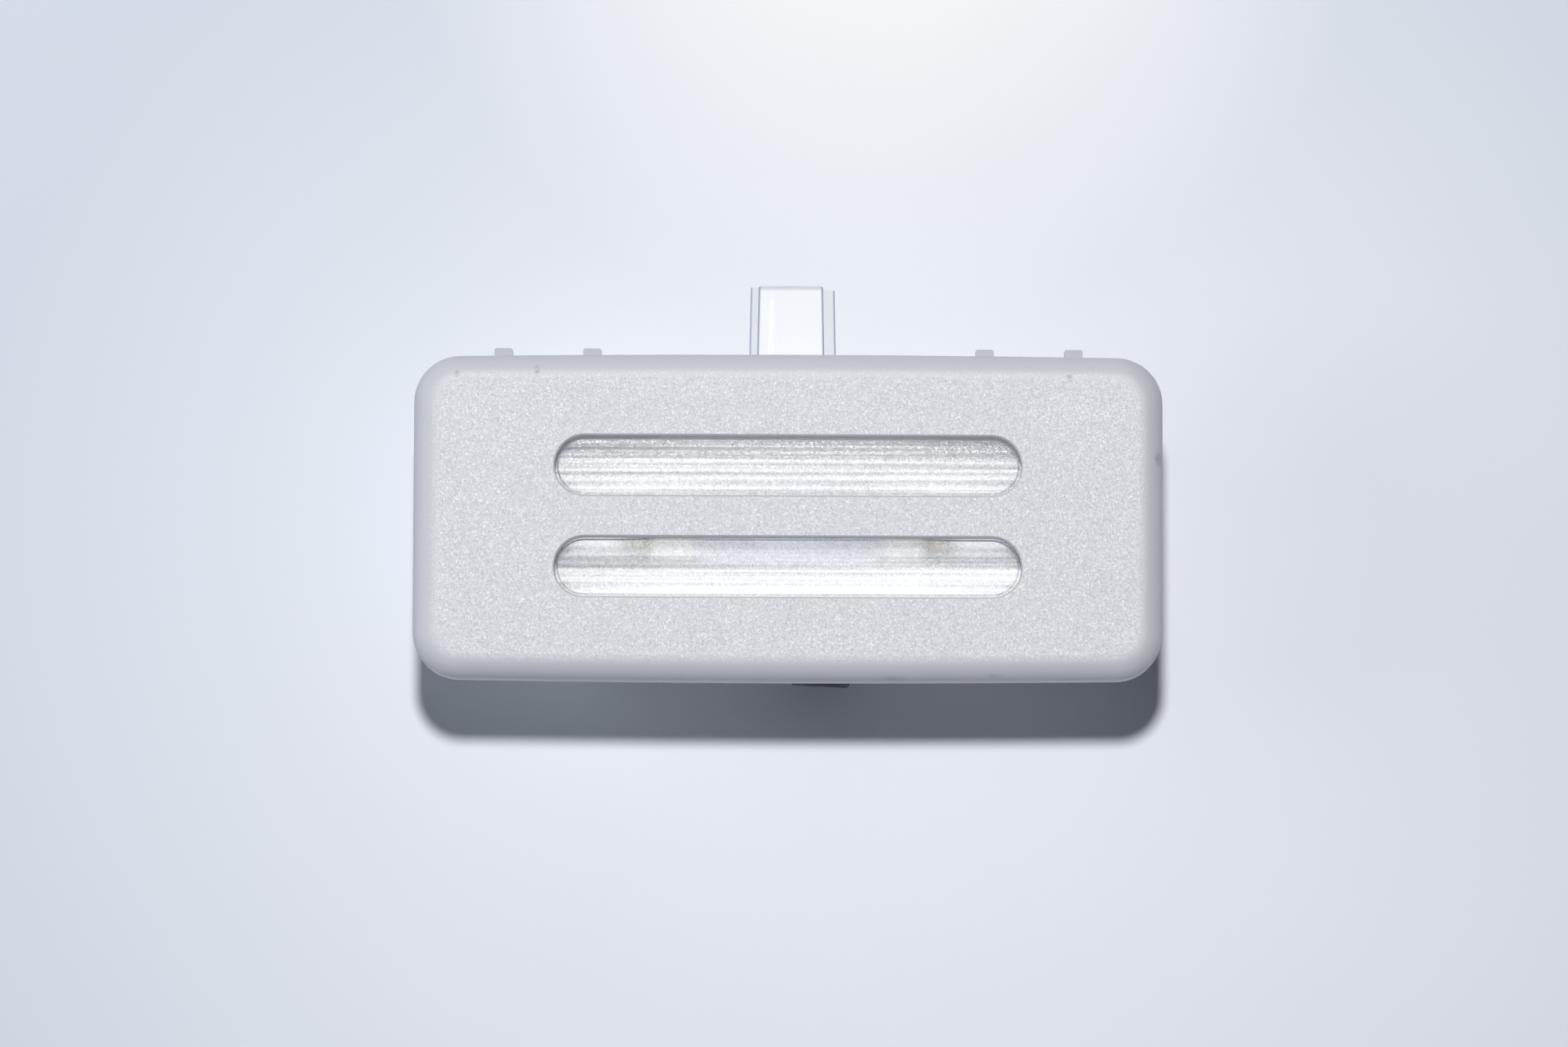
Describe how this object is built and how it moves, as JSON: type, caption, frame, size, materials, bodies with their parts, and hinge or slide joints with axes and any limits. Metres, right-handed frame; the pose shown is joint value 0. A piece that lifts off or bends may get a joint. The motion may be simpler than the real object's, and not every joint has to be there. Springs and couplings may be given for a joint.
{
  "type": "car interior light",
  "caption": "Slim car interior light with a grained rounded bezel, long slotted clear lens, festoon bulb, rear housing with plug socket, and a clear tongue and spring catch for the headliner.",
  "frame": {"origin": "on the flat rear of the housing, under the middle of the bezel", "axes": "+X along the light towards the plug socket, +Y across it towards the clear tongue, +Z out of the lit face"},
  "size_m": [0.074, 0.0403, 0.019],
  "materials": {
    "bezel_plastic": "fine sparkling grain",
    "clear_plastic": "clear moulding, light frosting behind the slots",
    "housing_plastic": "satin white moulding",
    "reflector_white": "white enamel on bent sheet",
    "contact_brass": "stamped strip",
    "spring_steel": "dark oxide",
    "bulb_glass": "clear",
    "cap_brass": "pale drawn cap",
    "filament_wire": "drawn wire"
  },
  "bodies": {
    "root": {"bezel": "bezel_plastic", "lens": "clear_plastic", "housing": "housing_plastic", "reflector": "reflector_white", "contact_left": "contact_brass", "contact_right": "contact_brass", "retaining_spring": "spring_steel", "bulb_glass": "bulb_glass", "bulb_cap_left": "cap_brass", "bulb_cap_right": "cap_brass", "bulb_filament": "filament_wire", "bulb_lead_left": "filament_wire", "bulb_lead_right": "filament_wire"}
  },
  "joints": []
}
